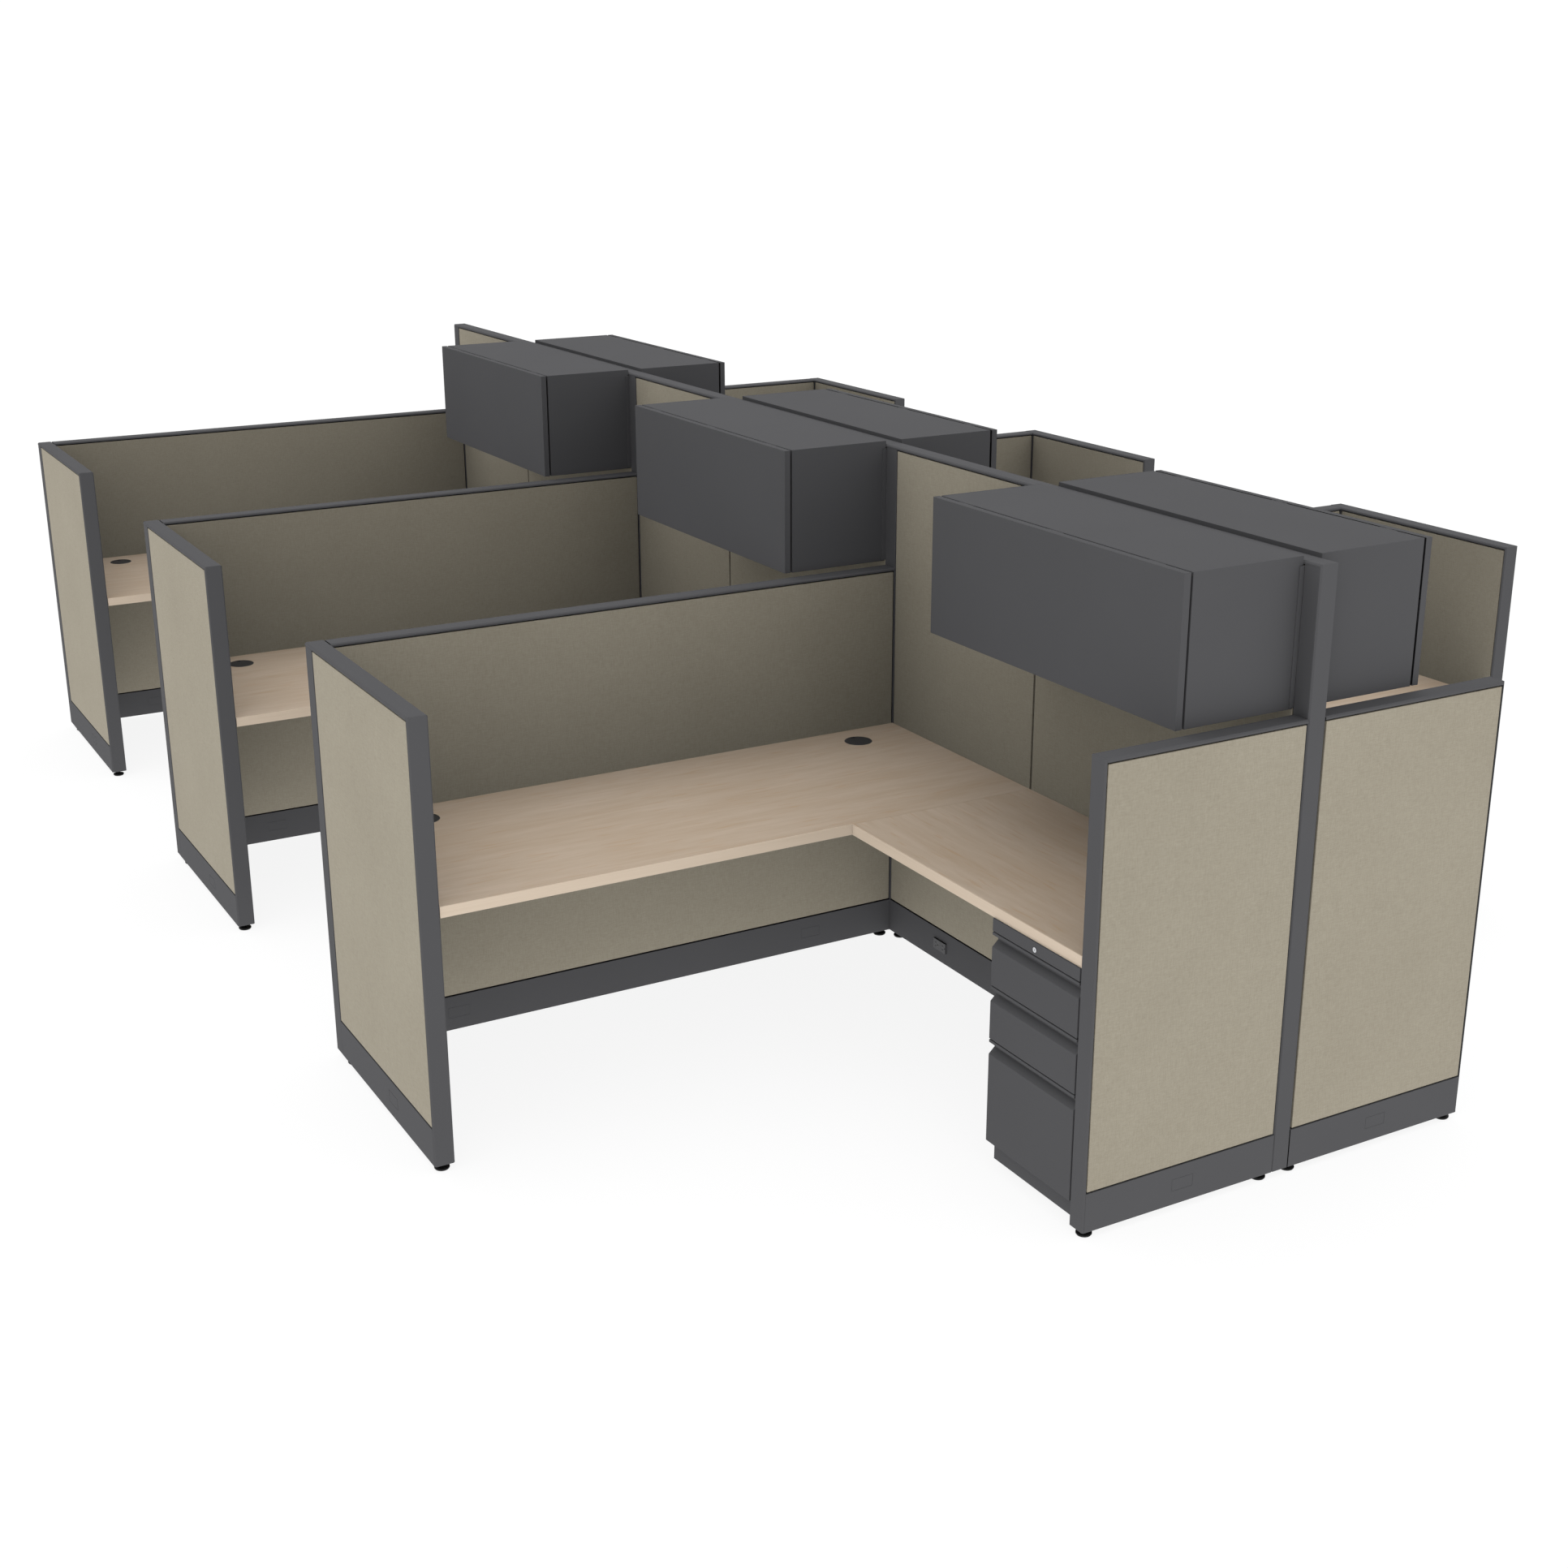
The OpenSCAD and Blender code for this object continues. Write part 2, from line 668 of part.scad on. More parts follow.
// One slide member: a channel along x whose mouth faces +y
module slide_member(h, depth)
    run_x(slide_l) difference() {
        translate([0, -h / 2]) square([depth, h]);
        translate([ped_wall, ped_wall - h / 2]) square([depth, h - 2 * ped_wall]);
    }

slide_x = ped_back + box_stop;
slide_inset = 2.5;

module drawer_slides() color(steel) all_stations() for (k = [0 : 2], flip = [0, 1])
    translate([slide_x, ped_y + ped_w / 2, box_z(k) + slide_lift]) mirror([0, flip, 0])
        translate([0, ped_wall - ped_w / 2, 0]) slide_member(slide_h, slide_gap - slide_inset);

front_wall = 1.2;

// The front's section in (x, z), with x from the face inwards and z from its top
module front_2d(h)
    polygon([[-front_t, 0], [0, 0], [0, -lip_h], [-pull_d, -lip_h], [-pull_d, -lip_h - pull_h],
        [0, -lip_h - pull_h - bevel_h], [0, -h], [-front_t, -h]]);

// Its hollow, closed behind by a plate that reaches up to the pull
module front_cavity_2d(h) {
    slope = bevel_h / pull_d;
    shift = front_wall * (sqrt(1 + slope * slope) - slope);
    low = lip_h + pull_h;
    polygon([[-front_t - over, -front_wall], [-front_wall, -front_wall],
        [-front_wall, front_wall - lip_h], [-pull_d - front_wall, front_wall - lip_h],
        [-pull_d - front_wall, -low - shift], [-front_wall, -low - bevel_h - shift],
        [-front_wall, front_wall - h], [front_wall - front_t, front_wall - h],
        [front_wall - front_t, -low], [-front_t - over, -low]]);
}

// A folded front with its pull, an open box and the two moving slide members
module drawer(k) color(charcoal) {
    h = front_hs[k];
    z = box_z(k);
    translate([ped_face, ped_y, front_top(k)]) difference() {
        run_y(ped_w) front_2d(h);
        translate([0, front_wall, 0]) run_y(ped_w - 2 * front_wall) front_cavity_2d(h);
    }
    translate([ped_face - front_t - box_l, box_y, z])
        tray([box_l - seat, box_w, side_hs[k]], front_wall, [0, 0, 1]);
    depth = slide_gap - slide_inset - ped_wall;
    member_h = slide_h - 2 * ped_wall - 2 * slide_play;
    for (flip = [0, 1]) translate([slide_x, ped_y + ped_w / 2, z + slide_lift])
        mirror([0, flip, 0]) translate([0, -box_w / 2 - seat, 0]) mirror([0, 1, 0])
            slide_member(member_h, depth - seat);
    translate([bar_x - striker_gap - striker_w, box_y - hook_reach + seat, striker_z(k)])
        cube([striker_w, hook_reach - seat, hook_h]);
}

bar_x = ped_front - bar_front - bar_w;
bar_y = ped_in_y + seat;
arm_x = bar_x + bar_w / 2;
arm_z = lock_z - cam_throw * sin(cam_angle);
arm_h = 12;
slot_play = 0.3;

module lock_barrels() color(steel) all_stations()
    translate([ped_face, lock_y, lock_z]) rotate([0, -90, 0]) difference() {
        union() {
            translate([0, 0, -rim_t]) cylinder(r = rim_r, h = rim_t);
            cylinder(r = plug_r + panel_wall, h = barrel_l);
        }
        translate([0, 0, -rim_t - over]) cylinder(r = plug_r + run_fit, h = barrel_l + rim_t + 2 * over);
    }

key_w = 1.4;
key_h = 6;
key_d = 4;

// The plug with its keyway, the cam on its inner end and the cam's pin
module lock_plug() color(steel) translate([ped_face, lock_y, lock_z]) {
    cam_x = arm_x + bar_t + seat - ped_face;
    difference() {
        translate([cam_x + cam_t, 0, 0]) rotate([0, 90, 0])
            cylinder(r = plug_r, h = rim_t - cam_x - cam_t);
        translate([rim_t - key_d, -key_w / 2, -key_h / 2]) cube([key_d + over, key_w, key_h]);
    }
    translate([cam_x, 0, 0]) rotate([-cam_angle, 0, 0]) {
        translate([0, -cam_w / 2, -cam_w / 2]) cube([cam_t, cam_throw + cam_w / 2 + cam_pin_r, cam_w]);
        translate([-bar_t - 2 * seat, cam_throw, 0]) rotate([0, 90, 0])
            cylinder(r = cam_pin_r, h = bar_t + 3 * seat);
    }
}

// The bar that the cam lifts: a slotted arm, an upright strip and a hook under each striker
module lock_bar() color(steel) {
    arm_end = lock_y + cam_throw + cam_w;
    foot = striker_z(2) - cam_lift - 2 * hook_h;
    slot_y = cam_throw * cos(cam_angle);
    difference() {
        translate([arm_x, bar_y, arm_z - arm_h / 2]) cube([bar_t, arm_end - bar_y, arm_h]);
        translate([arm_x - over, lock_y + slot_y - cam_pin_r - 2 * slot_play,
                arm_z - cam_pin_r - slot_play])
            cube([bar_t + 2 * over, cam_throw - slot_y + 2 * cam_pin_r + 4 * slot_play,
                2 * (cam_pin_r + slot_play)]);
    }
    translate([bar_x, bar_y, foot]) cube([bar_w, bar_t, arm_z + arm_h / 2 - foot]);
    for (k = [0 : 2]) translate([bar_x, bar_y, striker_z(k) - cam_lift])
        cube([bar_w, hook_reach + bar_t, hook_h]);
}

panel_frames();
fabric_tiles();
top_caps();
posts();
end_trims();
raceway_covers();
outlet_plates();
levelling_glides();
main_worksurfaces();
return_worksurfaces();
edge_bands();
grommets();
brackets();
bin_tops();
bin_shelves();
bin_backs();
bin_ends();
bin_hinges();
pedestal_sides();
pedestal_backs();
pedestal_bases();
pedestal_tops();
drawer_slides();
lock_barrels();
at_station(near, 1) bin_door();  // near_1_bin_door
at_station(near, 2) bin_door();  // near_2_bin_door
at_station(near, 3) bin_door();  // near_3_bin_door
at_station(far, 1) bin_door();  // far_1_bin_door
at_station(far, 2) bin_door();  // far_2_bin_door
at_station(far, 3) bin_door();  // far_3_bin_door
at_station(near, 1) drawer(0);  // near_1_top_drawer
at_station(near, 1) drawer(1);  // near_1_middle_drawer
at_station(near, 1) drawer(2);  // near_1_file_drawer
at_station(near, 2) drawer(0);  // near_2_top_drawer
at_station(near, 2) drawer(1);  // near_2_middle_drawer
at_station(near, 2) drawer(2);  // near_2_file_drawer
at_station(near, 3) drawer(0);  // near_3_top_drawer
at_station(near, 3) drawer(1);  // near_3_middle_drawer
at_station(near, 3) drawer(2);  // near_3_file_drawer
at_station(far, 1) drawer(0);  // far_1_top_drawer
at_station(far, 1) drawer(1);  // far_1_middle_drawer
at_station(far, 1) drawer(2);  // far_1_file_drawer
at_station(far, 2) drawer(0);  // far_2_top_drawer
at_station(far, 2) drawer(1);  // far_2_middle_drawer
at_station(far, 2) drawer(2);  // far_2_file_drawer
at_station(far, 3) drawer(0);  // far_3_top_drawer
at_station(far, 3) drawer(1);  // far_3_middle_drawer
at_station(far, 3) drawer(2);  // far_3_file_drawer
at_station(near, 1) lock_plug();  // near_1_lock_plug
at_station(near, 2) lock_plug();  // near_2_lock_plug
at_station(near, 3) lock_plug();  // near_3_lock_plug
at_station(far, 1) lock_plug();  // far_1_lock_plug
at_station(far, 2) lock_plug();  // far_2_lock_plug
at_station(far, 3) lock_plug();  // far_3_lock_plug
at_station(near, 1) lock_bar();  // near_1_lock_bar
at_station(near, 2) lock_bar();  // near_2_lock_bar
at_station(near, 3) lock_bar();  // near_3_lock_bar
at_station(far, 1) lock_bar();  // far_1_lock_bar
at_station(far, 2) lock_bar();  // far_2_lock_bar
at_station(far, 3) lock_bar();  // far_3_lock_bar
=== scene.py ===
import json
import math

import bmesh
import bpy
from mathutils import Matrix, Vector


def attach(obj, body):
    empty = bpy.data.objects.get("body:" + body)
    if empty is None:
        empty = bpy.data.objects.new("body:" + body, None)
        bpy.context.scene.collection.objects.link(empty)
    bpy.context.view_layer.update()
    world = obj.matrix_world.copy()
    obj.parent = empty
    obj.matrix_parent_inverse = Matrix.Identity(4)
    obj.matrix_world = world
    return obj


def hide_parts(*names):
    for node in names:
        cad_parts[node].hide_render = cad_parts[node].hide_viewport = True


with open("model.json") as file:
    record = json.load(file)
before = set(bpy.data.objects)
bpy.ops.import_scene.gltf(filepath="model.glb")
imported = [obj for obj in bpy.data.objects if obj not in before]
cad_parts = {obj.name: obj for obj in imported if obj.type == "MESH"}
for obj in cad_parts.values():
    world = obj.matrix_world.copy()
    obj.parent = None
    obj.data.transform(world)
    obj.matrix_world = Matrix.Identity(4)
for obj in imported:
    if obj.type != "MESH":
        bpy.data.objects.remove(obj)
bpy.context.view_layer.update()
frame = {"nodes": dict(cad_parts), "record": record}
bodies = frame["record"]["behaviour"]["bodies"]
bodyOf = {node: body for body, nodes in bodies.items() for node in nodes}
stationNames = [f"{row}_{number}" for row in ("near", "far") for number in (1, 2, 3)]
drawerKinds = ("top", "middle", "file")
print("frame loaded:", len(frame["nodes"]), "nodes")

# Camera, solved from the photo's corners against the part's own sizes
cameraSet = {
    "place": (-3.5311, -6.4513, 2.7815),
    "turn": -29.455,
    "tilt": -19.026,
    "roll": -0.156,
    "lens": 47.747,
    "sensor": 36.0,
    "reach": 200,
}


def makeCamera():
    turn, tilt, roll = (math.radians(cameraSet[key]) for key in ("turn", "tilt", "roll"))
    right = Vector((math.cos(turn), math.sin(turn), 0))
    level = math.cos(tilt)
    ahead = Vector((-math.sin(turn) * level, math.cos(turn) * level, math.sin(tilt)))
    up = right.cross(ahead)
    rolledRight = math.cos(roll) * right + math.sin(roll) * up
    rolledUp = math.cos(roll) * up - math.sin(roll) * right
    data = bpy.data.cameras.new("photoCamera")
    data.lens = cameraSet["lens"]
    data.sensor_width = cameraSet["sensor"]
    data.clip_end = cameraSet["reach"]
    camera = bpy.data.objects.new("photoCamera", data)
    bpy.context.scene.collection.objects.link(camera)
    facing = Matrix((rolledRight, rolledUp, -ahead)).transposed().to_4x4()
    camera.matrix_world = Matrix.Translation(cameraSet["place"]) @ facing
    bpy.context.scene.camera = camera


makeCamera()
print("camera made")


# Shader maths written as Python: a Sock is an output socket, and an expression adds its Math nodes
class Sock:
    def __init__(self, tree, out):
        self.tree = tree
        self.out = out

    def maths(self, operation, *others):
        return makeNode(self.tree, "ShaderNodeMath", {"operation": operation},
                        dict(enumerate((self, *others))))

    def __add__(self, other):
        return self.maths("ADD", other)

    def __sub__(self, other):
        return self.maths("SUBTRACT", other)

    def __mul__(self, other):
        return self.maths("MULTIPLY", other)

    def __truediv__(self, other):
        return self.maths("DIVIDE", other)

    def __rsub__(self, other):
        return self * -1 + other

    def sine(self):
        return self.maths("SINE")

    def above(self, limit):
        return self.maths("GREATER_THAN", limit)

    def atMost(self, limit):
        return self.maths("MINIMUM", limit)


# Any other node: its settings come first, then the values or links of its sockets
def makeNode(tree, kind, settings=None, sockets=None, output=0):
    node = tree.nodes.new(kind)
    for key, value in (settings or {}).items():
        if key == "stops":
            while len(node.color_ramp.elements) < len(value):
                node.color_ramp.elements.new(1)
            for element, (position, colour) in zip(node.color_ramp.elements, value):
                element.position = position
                element.color = (*colour, 1)
        else:
            setattr(node, key, value)
    for key, value in (sockets or {}).items():
        if isinstance(value, Sock):
            tree.links.new(value.out, node.inputs[key])
        else:
            node.inputs[key].default_value = value
    return Sock(tree, node.outputs[output])


# A colour as the eye reads it, 0 to 255, made linear
def paint(red, green, blue):
    shares = [part / 255 for part in (red, green, blue)]
    return tuple(s / 12.92 if s <= 0.04045 else ((s + 0.055) / 1.055) ** 2.4 for s in shares)


class Finish:
    def __init__(self, name, **fixed):
        self.material = bpy.data.materials.new(name)
        self.material.use_nodes = True
        self.tree = self.material.node_tree
        self.shader = self.tree.nodes["Principled BSDF"]
        for key, value in fixed.items():
            self.feed(key.replace("_", " "), value)

    def feed(self, socketName, value):
        if isinstance(value, Sock):
            self.tree.links.new(value.out, self.shader.inputs[socketName])
        else:
            self.shader.inputs[socketName].default_value = value

    def node(self, kind, settings=None, sockets=None, output=0):
        return makeNode(self.tree, kind, settings, sockets, output)

    def place(self):
        return self.node("ShaderNodeTexCoord", output="Object")

    def axes(self):
        place = self.place()
        return [self.node("ShaderNodeSeparateXYZ", None, {0: place}, axis) for axis in range(3)]

    def vector(self, x, y, z):
        return self.node("ShaderNodeCombineXYZ", None, {0: x, 1: y, 2: z})

    def noise(self, vector, scale, detail=2, roughness=0.5):
        return self.node("ShaderNodeTexNoise", None, {"Vector": vector, "Scale": scale, "Detail": detail,
                                                      "Roughness": roughness})

    def mix(self, factor, first, second):
        first, second = [c if isinstance(c, Sock) else (*c, 1) for c in (first, second)]
        return self.node("ShaderNodeMix", {"data_type": "RGBA"}, {0: factor, 6: first, 7: second}, 2)

    # The roughness varies with a pattern, by the spread, about a middle value
    def roughen(self, pattern, spread, middle):
        self.feed("Roughness", pattern * spread + (middle - spread / 2))

    def bump(self, height, strength, distance):
        self.feed("Normal", self.node("ShaderNodeBump", None, {"Strength": strength, "Distance": distance,
                                                               "Height": height}))


powderSet = {
    "colour": paint(92, 92, 94),
    "deeper": paint(87, 87, 89),
    "grain": (1100, 2),
    "cloud": (3.2, 3),
    "cloudShare": 0.7,
    "roughness": 0.72,
    "roughSpread": 0.12,
    "gloss": 0.03,
    "bump": (0.12, 0.0002),
    "trimShade": 1.0,
    "caseShade": 0.95,
    "frameShade": 0.16,
}


def powderCoat(name, shade):
    finish = Finish(name, Specular_IOR_Level=powderSet["gloss"])
    place = finish.place()
    grain = finish.noise(place, *powderSet["grain"])
    cloud = finish.noise(place, *powderSet["cloud"])
    light, deep = [tuple(c * shade for c in powderSet[key]) for key in ("colour", "deeper")]
    share = powderSet["cloudShare"]
    finish.feed("Base Color", finish.mix(cloud * share + grain * (1 - share), deep, light))
    finish.roughen(grain, powderSet["roughSpread"], powderSet["roughness"])
    finish.bump(grain, *powderSet["bump"])
    return finish.material


clothSet = {
    "light": paint(187, 180, 163),
    "dark": paint(146, 138, 122),
    "fleck": paint(124, 116, 101),
    "yarn": 0.0017,
    "slubLength": 0.02,
    "depthScale": 9,
    "weaveShare": 0.16,
    "yarnShare": 0.42,
    "cloudShare": 0.28,
    "shift": 0.14,
    "yarnDetail": 1,
    "fleckDetail": 0,
    "cloud": (2.6, 4, 0.55),
    "fleckSize": 0.6,
    "fleckLimit": 0.72,
    "fleckShare": 0.18,
    "roughness": 0.93,
    "gloss": 0.05,
    "sheen": 0.03,
    "sheenRoughness": 0.5,
    "weaveHeight": 0.5,
    "yarnHeight": 0.3,
    "bump": (0.35, 0.0006),
}


# Plain weave: yarns along the panel and upright yarns pass over each other in turn
def panelCloth(name):
    finish = Finish(name, Roughness=clothSet["roughness"], Specular_IOR_Level=clothSet["gloss"],
                    Sheen_Weight=clothSet["sheen"], Sheen_Roughness=clothSet["sheenRoughness"])
    x, y, z = finish.axes()
    run = x + y
    step = math.pi / clothSet["yarn"]
    weave = (run * step).sine() * (z * step).sine()
    long, fine = 1 / clothSet["slubLength"], 1 / clothSet["yarn"]
    depth, share, rise = [clothSet[key] for key in ("depthScale", "yarnShare", "yarnHeight")]
    weft = finish.noise(finish.vector(run * long, y * depth, z * fine), 1, clothSet["yarnDetail"])
    warp = finish.noise(finish.vector(run * fine, y * depth, z * long), 1, clothSet["yarnDetail"])
    cloud = finish.noise(finish.place(), *clothSet["cloud"])
    heather = weave * clothSet["weaveShare"] + weft * share + warp * share + cloud * clothSet["cloudShare"]
    cloth = finish.mix(heather - clothSet["shift"], clothSet["dark"], clothSet["light"])
    size = clothSet["fleckSize"]
    specks = finish.noise(finish.vector(run * fine * size, y * depth, z * fine * size), 1,
                          clothSet["fleckDetail"])
    flecks = specks.above(clothSet["fleckLimit"]) * clothSet["fleckShare"]
    finish.feed("Base Color", finish.mix(flecks, cloth, clothSet["fleck"]))
    finish.bump(weave * clothSet["weaveHeight"] + weft * rise + warp * rise, *clothSet["bump"])
    return finish.material


laminateSet = {
    "pale": paint(208, 190, 171),
    "middle": paint(200, 181, 160),
    "warm": paint(194, 172, 148),
    "fleck": paint(192, 156, 118),
    "backing": paint(140, 131, 120),
    "drift": (1.1, 3, 2, 0.03),
    "board": (1.4, 9, 3, 0.45),
    "figure": (4.5, 42, 3, 0.43),
    "fibre": (20, 520, 2, 0.12),
    "grainRoughness": 0.6,
    "stops": (0.34, 0.5, 0.66),
    "dashes": (9, 90, 1),
    "dashDepth": 3,
    "dashLimit": 0.6,
    "dashGain": 3,
    "dashMost": 0.35,
    "roughness": 0.5,
    "roughSpread": 0.1,
    "gloss": 0.12,
    "bump": (0.08, 0.0002),
    "downward": 0.5,
}


# Pale wood print: a soft straight grain along X or along Y, with short warm flecks in it. Each layer
# of the grain has its scales along and across, its detail and its share of the tone.
def laminate(name, alongX):
    finish = Finish(name, Specular_IOR_Level=laminateSet["gloss"])
    x, y = finish.axes()[:2]
    along, across = (x, y) if alongX else (y, x)
    driftAlong, driftAcross, detail, bend = laminateSet["drift"]
    drift = finish.noise(finish.vector(along * driftAlong, across * driftAcross, 0), 1, detail)
    bent = across + drift * bend
    layers, shares = [], []
    for key in ("board", "figure", "fibre"):
        scaleAlong, scaleAcross, detail, share = laminateSet[key]
        layers.append(finish.noise(finish.vector(along * scaleAlong, bent * scaleAcross, 0), 1, detail,
                                   laminateSet["grainRoughness"]))
        shares.append(share)
    board, figure, fibre = [layer * share for layer, share in zip(layers, shares)]
    tones = [laminateSet[key] for key in ("warm", "middle", "pale")]
    wood = finish.node("ShaderNodeValToRGB", {"stops": list(zip(laminateSet["stops"], tones))},
                       {0: board + figure + fibre})
    dashAlong, dashAcross, detail = laminateSet["dashes"]
    dashPlace = finish.vector(along * dashAlong, bent * dashAcross, laminateSet["dashDepth"])
    dashes = finish.noise(dashPlace, 1, detail)
    flecks = (dashes - laminateSet["dashLimit"]).maths("MAXIMUM", 0) * laminateSet["dashGain"]
    wood = finish.mix(flecks.atMost(laminateSet["dashMost"]), wood, laminateSet["fleck"])
    facing = finish.node("ShaderNodeSeparateXYZ", None,
                         {0: finish.node("ShaderNodeNewGeometry", output="Normal")}, 2)
    under = (facing * -1).above(laminateSet["downward"])
    finish.feed("Base Color", finish.mix(under, wood, laminateSet["backing"]))
    finish.roughen(layers[-1], laminateSet["roughSpread"], laminateSet["roughness"])
    finish.bump(layers[-1], *laminateSet["bump"])
    return finish.material


bandSet = {
    "pale": paint(228, 210, 190),
    "deep": paint(217, 198, 175),
    "grain": (3, 160, 3),
    "fibre": (20, 900, 1),
    "roughness": 0.48,
    "roughSpread": 0.1,
    "gloss": 0.35,
    "bump": (0.1, 0.0001),
}


def edgeBand(name):
    finish = Finish(name, Specular_IOR_Level=bandSet["gloss"])
    x, y, z = finish.axes()
    grain, fibre = [finish.noise(finish.vector((x + y) * along, z * up, 0), 1, detail)
                    for along, up, detail in (bandSet["grain"], bandSet["fibre"])]
    finish.feed("Base Color", finish.mix(grain, bandSet["deep"], bandSet["pale"]))
    finish.roughen(fibre, bandSet["roughSpread"], bandSet["roughness"])
    finish.bump(fibre, *bandSet["bump"])
    return finish.material


mouldedSet = {
    "colours": (paint(52, 52, 53), paint(66, 66, 67)),
    "outletColours": (paint(78, 78, 80), paint(88, 88, 90)),
    "padColours": (paint(9, 9, 10), paint(17, 17, 18)),
    "padRoughness": 0.6,
    "grainScale": 1500,
    "cloudScale": 30,
    "roughness": 0.52,
    "roughSpread": 0.2,
    "gloss": 0.35,
    "bump": (0.2, 0.0002),
}


def moulded(name, colours=mouldedSet["colours"], roughness=mouldedSet["roughness"]):
    finish = Finish(name, Specular_IOR_Level=mouldedSet["gloss"])
    place = finish.place()
    grain = finish.noise(place, mouldedSet["grainScale"])
    cloud = finish.noise(place, mouldedSet["cloudScale"])
    finish.feed("Base Color", finish.mix(cloud, *colours))
    finish.roughen(grain, mouldedSet["roughSpread"], roughness)
    finish.bump(grain, *mouldedSet["bump"])
    return finish.material


zincSet = {
    "bright": paint(196, 199, 204),
    "dull": paint(150, 153, 158),
    "spangleScale": 260,
    "spangleShare": 0.5,
    "rolled": (12, 12, 1400),
    "roughness": 0.34,
    "roughSpread": 0.18,
    "bump": (0.05, 0.0001),
}


# Zinc plate has faint crystals and rolling lines along the strip
def zincPlate(name):
    finish = Finish(name, Metallic=1.0)
    place = finish.place()
    x, y, z = finish.axes()
    spangle = finish.node("ShaderNodeTexVoronoi", {"feature": "F1"},
                          {"Vector": place, "Scale": zincSet["spangleScale"]}, "Color")
    spread = finish.node("ShaderNodeSeparateColor", None, {0: spangle})
    stretch = [part * scale for part, scale in zip((x, y, z), zincSet["rolled"])]
    rolled = finish.noise(finish.vector(*stretch), 1)
    share = zincSet["spangleShare"]
    finish.feed("Base Color", finish.mix(spread * share + rolled * (1 - share), zincSet["dull"],
                                         zincSet["bright"]))
    finish.roughen(rolled, zincSet["roughSpread"], zincSet["roughness"])
    finish.bump(rolled, *zincSet["bump"])
    return finish.material


chromeSet = {
    "colour": paint(232, 233, 236),
    "haze": paint(206, 208, 212),
    "cloud": (420, 3),
    "roughness": 0.14,
    "roughSpread": 0.12,
    "bump": (0.03, 0.0001),
}


def brightChrome(name):
    finish = Finish(name, Metallic=1.0)
    haze = finish.noise(finish.place(), *chromeSet["cloud"])
    finish.feed("Base Color", finish.mix(haze, chromeSet["haze"], chromeSet["colour"]))
    finish.roughen(haze, chromeSet["roughSpread"], chromeSet["roughness"])
    finish.bump(haze, *chromeSet["bump"])
    return finish.material


finishes = {
    "trimMetal": powderCoat("trimMetal", powderSet["trimShade"]),
    "binMetal": powderCoat("binMetal", powderSet["caseShade"]),
    "caseMetal": powderCoat("caseMetal", powderSet["caseShade"]),
    "frameMetal": powderCoat("frameMetal", powderSet["frameShade"]),
    "cloth": panelCloth("cloth"),
    "laminateX": laminate("laminateX", True),
    "laminateY": laminate("laminateY", False),
    "band": edgeBand("band"),
    "moulded": moulded("moulded"),
    "outletPlastic": moulded("outletPlastic", mouldedSet["outletColours"]),
    "padPlastic": moulded("padPlastic", mouldedSet["padColours"], mouldedSet["padRoughness"]),
    "zinc": zincPlate("zinc"),
    "chrome": brightChrome("chrome"),
}
print("finishes made:", len(finishes))


# Metres apart and degrees between faces, for reading a node's shape and rounding its edges
shapeSet = {
    "merge": 2e-6,
    "cutNear": 1e-6,
    "flatAngle": 0.4,
    "roundAngle": 20,
    "creaseAngle": 28,
    "roundSegments": 2,
    "faceWeight": 100,
}


def joinFlats(shape, delimit=()):
    bmesh.ops.dissolve_limit(shape, angle_limit=math.radians(shapeSet["flatAngle"]), verts=shape.verts,
                             edges=shape.edges, delimit=set(delimit))


# A copy of a node's shape, merged, with its flat faces joined up again
def nodeShape(node):
    shape = bmesh.new()
    shape.from_mesh(frame["nodes"][node].data)
    bmesh.ops.remove_doubles(shape, verts=shape.verts, dist=shapeSet["merge"])
    bmesh.ops.dissolve_degenerate(shape, dist=shapeSet["merge"], edges=shape.edges)
    joinFlats(shape)
    return shape


# The separate solids of a shape, as lists of faces
def islands(shape):
    seen = set()
    found = []
    for start in shape.faces:
        if start in seen:
            continue
        seen.add(start)
        group, reach = [start], [start]
        while reach:
            for edge in reach.pop().edges:
                for face in edge.link_faces:
                    if face not in seen:
                        seen.add(face)
                        group.append(face)
                        reach.append(face)
        found.append(group)
    return found


def groupBox(group):
    corners = [vert.co for face in group for vert in face.verts]
    low = Vector(min(c[axis] for c in corners) for axis in range(3))
    high = Vector(max(c[axis] for c in corners) for axis in range(3))
    return low, high


# The boxes of a node's solids, lowest corner and highest corner
def solidBoxes(node):
    shape = nodeShape(node)
    boxes = [groupBox(group) for group in islands(shape)]
    shape.free()
    return sorted(boxes, key=lambda box: tuple(round(c, 5) for c in (*box[0], *box[1])))


# Cuts each solid across its middles, so that a face with a hole in it becomes parts whose borders
# meet the rounded edges squarely. A border from corner to corner makes a rounded face cross itself.
def cutAcross(shape):
    for axis in range(3):
        normal = Vector(float(axis == other) for other in range(3))
        for group in islands(shape):
            low, high = groupBox(group)
            parts = dict.fromkeys(part for face in group for part in (face, *face.edges, *face.verts))
            made = bmesh.ops.bisect_plane(shape, geom=list(parts), dist=shapeSet["cutNear"],
                                          plane_co=(low + high) / 2, plane_no=normal)
            for part in made["geom_cut"]:
                if isinstance(part, bmesh.types.BMEdge):
                    part.seam = True
    joinFlats(shape, ["SEAM"])
    for edge in shape.edges:
        edge.seam = False


# Whether two edges run side by side, closer than the limit
def sideBySide(edge, other, limit):
    start = edge.verts[0].co
    run = (edge.verts[1].co - start).normalized()
    ends = [vert.co - start for vert in other.verts]
    along = [end.dot(run) for end in ends]
    apart = max((end - run * reach).length for end, reach in zip(ends, along))
    return shapeSet["cutNear"] < apart < limit and max(along) > 0 and min(along) < edge.calc_length()


